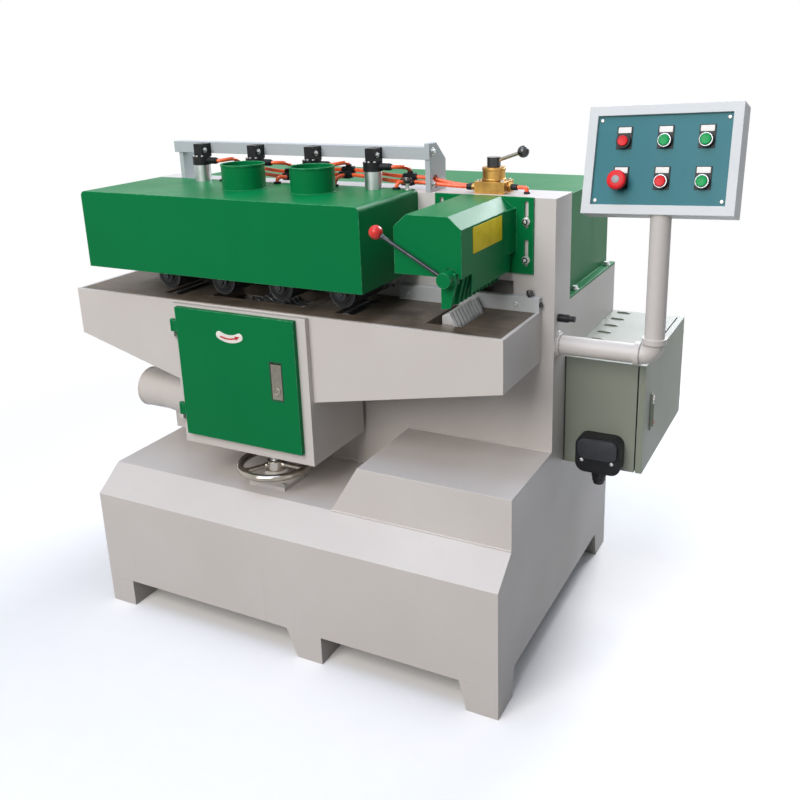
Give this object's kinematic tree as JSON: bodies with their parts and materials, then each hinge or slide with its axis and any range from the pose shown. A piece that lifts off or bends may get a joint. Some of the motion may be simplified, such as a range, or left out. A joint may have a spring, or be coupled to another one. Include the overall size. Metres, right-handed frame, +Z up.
{
  "type": "multi rip saw",
  "caption": "Floor-standing woodworking multi rip saw with a lower saw arbor, handwheel lifted table, air pressed feed rollers, dust covers and a control panel on a pole.",
  "frame": {"origin": "middle of the whole outline in plan, on the floor", "axes": "+X along the feed towards the infeed end, +Y from the operator's side to the back, +Z up"},
  "size_m": [1.5382, 0.829, 1.2553],
  "materials": {
    "grey_paint": "satin machine enamel",
    "green_paint": "gloss enamel",
    "teal_paint": "satin powder coat",
    "cabinet_paint": "fine textured powder coat",
    "motor_paint": "satin enamel",
    "table_iron": "ground and oiled",
    "bearing_iron": "machined",
    "steel": "turned and ground",
    "chrome": "polished plating",
    "aluminium": "anodised",
    "brass": "turned",
    "black_plastic": "moulded",
    "hose": "extruded, slightly glossy",
    "rubber": "matt",
    "red_plastic": "glossy",
    "green_plastic": "glossy"
  },
  "bodies": {
    "frame": {"base": "grey_paint", "raised_deck": "grey_paint", "feet": "grey_paint", "column": "grey_paint", "rear_housing": "grey_paint", "rear_hood": "green_paint", "cover_bolts": "steel", "top_cover": "green_paint", "air_cylinders": "aluminium", "cross_beam": "grey_paint", "valve_body": "brass", "air_fittings": "black_plastic", "air_hoses": "hose", "bearing_housing": "bearing_iron", "motors": "motor_paint", "drive_belts": "rubber", "cabinet": "cabinet_paint", "supply_inlets": "black_plastic", "panel_pipe": "grey_paint", "panel_box": "grey_paint", "panel_plate": "teal_paint", "button_holders": "black_plastic", "screw_pad": "chrome"},
    "table": {"table_top": "table_iron", "table_frame": "grey_paint", "saw_box": "grey_paint", "dust_outlet": "grey_paint", "fence": "steel", "lift_screw": "steel"},
    "saw_arbor": {"arbor": "steel", "saw_blades": "steel"},
    "finger_lever": {"upper_fingers": "green_paint", "guard_lever": "steel", "lever_ball": "red_plastic"},
    "valve_handle": {"valve_lever": "chrome", "valve_knob": "black_plastic"},
    "saw_door": {"saw_door": "green_paint"},
    "door_lock": {"door_lock": "chrome"},
    "handwheel": {"handwheel": "chrome"},
    "motor_pulley": {"motor_pulley": "bearing_iron"},
    "infeed_hood": {"infeed_hood": "green_paint"},
    "lower_fingers": {"lower_fingers": "steel"},
    "cabinet_door": {"cabinet_door": "cabinet_paint"},
    "cabinet_lock": {"cabinet_lock": "black_plastic"},
    "lower_roller_1": {"lower_roller_1": "steel"},
    "lower_roller_2": {"lower_roller_2": "steel"},
    "button_red_upper": {"button_red_upper": "red_plastic"},
    "button_green_middle": {"button_green_middle": "green_plastic"},
    "button_green_upper": {"button_green_upper": "green_plastic"},
    "button_red_lower": {"button_red_lower": "red_plastic"},
    "button_green_lower": {"button_green_lower": "green_plastic"},
    "emergency_stop": {"emergency_stop": "red_plastic"},
    "press_slide_1": {"press_slide_1": "bearing_iron"},
    "press_slide_2": {"press_slide_2": "bearing_iron"},
    "press_slide_3": {"press_slide_3": "bearing_iron"},
    "press_slide_4": {"press_slide_4": "bearing_iron"},
    "press_roller_1": {"press_roller_1": "rubber"},
    "press_roller_2": {"press_roller_2": "rubber"},
    "press_roller_3": {"press_roller_3": "rubber"},
    "press_roller_4": {"press_roller_4": "rubber"}
  },
  "joints": [
    {"name": "handwheel_turn", "type": "hinge", "parent": "frame", "child": "handwheel", "pos_m": [-0.23611, -0.2645, 0.4], "axis": [0, 0, 1], "range_deg": [-2160, 720]},
    {"name": "table_lift", "type": "slide", "parent": "frame", "child": "table", "axis": [0, 0, 1], "range_m": [-0.03, 0.01]},
    {"name": "saw_door_swing", "type": "hinge", "parent": "table", "child": "saw_door", "pos_m": [-0.44805, -0.3365, 0.648], "axis": [0, 0, -1], "range_deg": [0, 110]},
    {"name": "door_lock_pull", "type": "hinge", "parent": "saw_door", "child": "door_lock", "pos_m": [-0.15683, -0.3358, 0.69713], "axis": [-1, 0, 0], "range_deg": [0, 35], "stiffness_Nm_per_rad": 0.05, "springref_deg": -17.19},
    {"name": "arbor_spin", "type": "hinge", "parent": "frame", "child": "saw_arbor", "pos_m": [-0.26511, -0.0345, 0.655], "axis": [0, 1, 0], "continuous": true},
    {"name": "motor_spin", "type": "hinge", "parent": "frame", "child": "motor_pulley", "pos_m": [0.07589, 0.0655, 0.505], "axis": [0, 1, 0], "continuous": true},
    {"name": "press_travel_1", "type": "slide", "parent": "frame", "child": "press_slide_1", "axis": [0, 0, 1], "range_m": [0, 0.035]},
    {"name": "press_roller_spin_1", "type": "hinge", "parent": "press_slide_1", "child": "press_roller_1", "pos_m": [-0.50011, -0.1745, 0.862], "axis": [0, 1, 0], "continuous": true},
    {"name": "press_travel_2", "type": "slide", "parent": "frame", "child": "press_slide_2", "axis": [0, 0, 1], "range_m": [0, 0.035]},
    {"name": "press_roller_spin_2", "type": "hinge", "parent": "press_slide_2", "child": "press_roller_2", "pos_m": [-0.33811, -0.1745, 0.862], "axis": [0, 1, 0], "continuous": true},
    {"name": "press_travel_3", "type": "slide", "parent": "frame", "child": "press_slide_3", "axis": [0, 0, 1], "range_m": [0, 0.035]},
    {"name": "press_roller_spin_3", "type": "hinge", "parent": "press_slide_3", "child": "press_roller_3", "pos_m": [-0.17611, -0.1745, 0.862], "axis": [0, 1, 0], "continuous": true},
    {"name": "press_travel_4", "type": "slide", "parent": "frame", "child": "press_slide_4", "axis": [0, 0, 1], "range_m": [0, 0.035]},
    {"name": "press_roller_spin_4", "type": "hinge", "parent": "press_slide_4", "child": "press_roller_4", "pos_m": [-0.01411, -0.1745, 0.862], "axis": [0, 1, 0], "continuous": true},
    {"name": "lower_roller_spin_1", "type": "hinge", "parent": "table", "child": "lower_roller_1", "pos_m": [-0.50011, -0.1995, 0.794], "axis": [0, 1, 0], "continuous": true},
    {"name": "lower_roller_spin_2", "type": "hinge", "parent": "table", "child": "lower_roller_2", "pos_m": [-0.01411, -0.1995, 0.794], "axis": [0, 1, 0], "continuous": true},
    {"name": "hood_height", "type": "slide", "parent": "frame", "child": "infeed_hood", "axis": [0, 0, 1], "range_m": [-0.036, 0.008]},
    {"name": "finger_lever_turn", "type": "hinge", "parent": "infeed_hood", "child": "finger_lever", "pos_m": [0.28989, -0.2145, 0.946], "axis": [0, 1, 0], "range_deg": [0, 70]},
    {"name": "lower_fingers_tilt", "type": "hinge", "parent": "table", "child": "lower_fingers", "pos_m": [0.24589, -0.1885, 0.798], "axis": [0, 1, 0], "range_deg": [-60, 0], "stiffness_Nm_per_rad": 0.6, "springref_deg": 22.92},
    {"name": "valve_turn", "type": "hinge", "parent": "frame", "child": "valve_handle", "pos_m": [0.24789, -0.0425, 1.125], "axis": [0, 0, 1], "range_deg": [-45, 45]},
    {"name": "cabinet_door_swing", "type": "hinge", "parent": "frame", "child": "cabinet_door", "pos_m": [0.58489, 0.4095, 0.56], "axis": [0, 0, 1], "range_deg": [0, 110]},
    {"name": "cabinet_lock_turn", "type": "hinge", "parent": "cabinet_door", "child": "cabinet_lock", "pos_m": [0.59389, 0.0575, 0.56], "axis": [1, 0, 0], "range_deg": [0, 90]},
    {"name": "button_red_upper_press", "type": "slide", "parent": "frame", "child": "button_red_upper", "axis": [0.0896, 0.9479, -0.3057], "range_m": [0, 0.004], "stiffness_N_per_m": 300, "springref_m": -0.003},
    {"name": "button_green_middle_press", "type": "slide", "parent": "frame", "child": "button_green_middle", "axis": [0.0896, 0.9479, -0.3057], "range_m": [0, 0.004], "stiffness_N_per_m": 300, "springref_m": -0.003},
    {"name": "button_green_upper_press", "type": "slide", "parent": "frame", "child": "button_green_upper", "axis": [0.0896, 0.9479, -0.3057], "range_m": [0, 0.004], "stiffness_N_per_m": 300, "springref_m": -0.003},
    {"name": "button_red_lower_press", "type": "slide", "parent": "frame", "child": "button_red_lower", "axis": [0.0896, 0.9479, -0.3057], "range_m": [0, 0.004], "stiffness_N_per_m": 300, "springref_m": -0.003},
    {"name": "button_green_lower_press", "type": "slide", "parent": "frame", "child": "button_green_lower", "axis": [0.0896, 0.9479, -0.3057], "range_m": [0, 0.004], "stiffness_N_per_m": 300, "springref_m": -0.003},
    {"name": "emergency_stop_press", "type": "slide", "parent": "frame", "child": "emergency_stop", "axis": [0.0896, 0.9479, -0.3057], "range_m": [0, 0.005], "stiffness_N_per_m": 600, "springref_m": -0.003}
  ],
  "couplings": [
    {"joint": "table_lift", "follows": "handwheel_turn", "m_per_rad": 0.00079577},
    {"joint": "motor_spin", "follows": "arbor_spin", "ratio": 0.74359},
    {"joint": "press_roller_spin_2", "follows": "press_roller_spin_1", "ratio": 1},
    {"joint": "press_roller_spin_3", "follows": "press_roller_spin_1", "ratio": 1},
    {"joint": "press_roller_spin_4", "follows": "press_roller_spin_1", "ratio": 1}
  ]
}
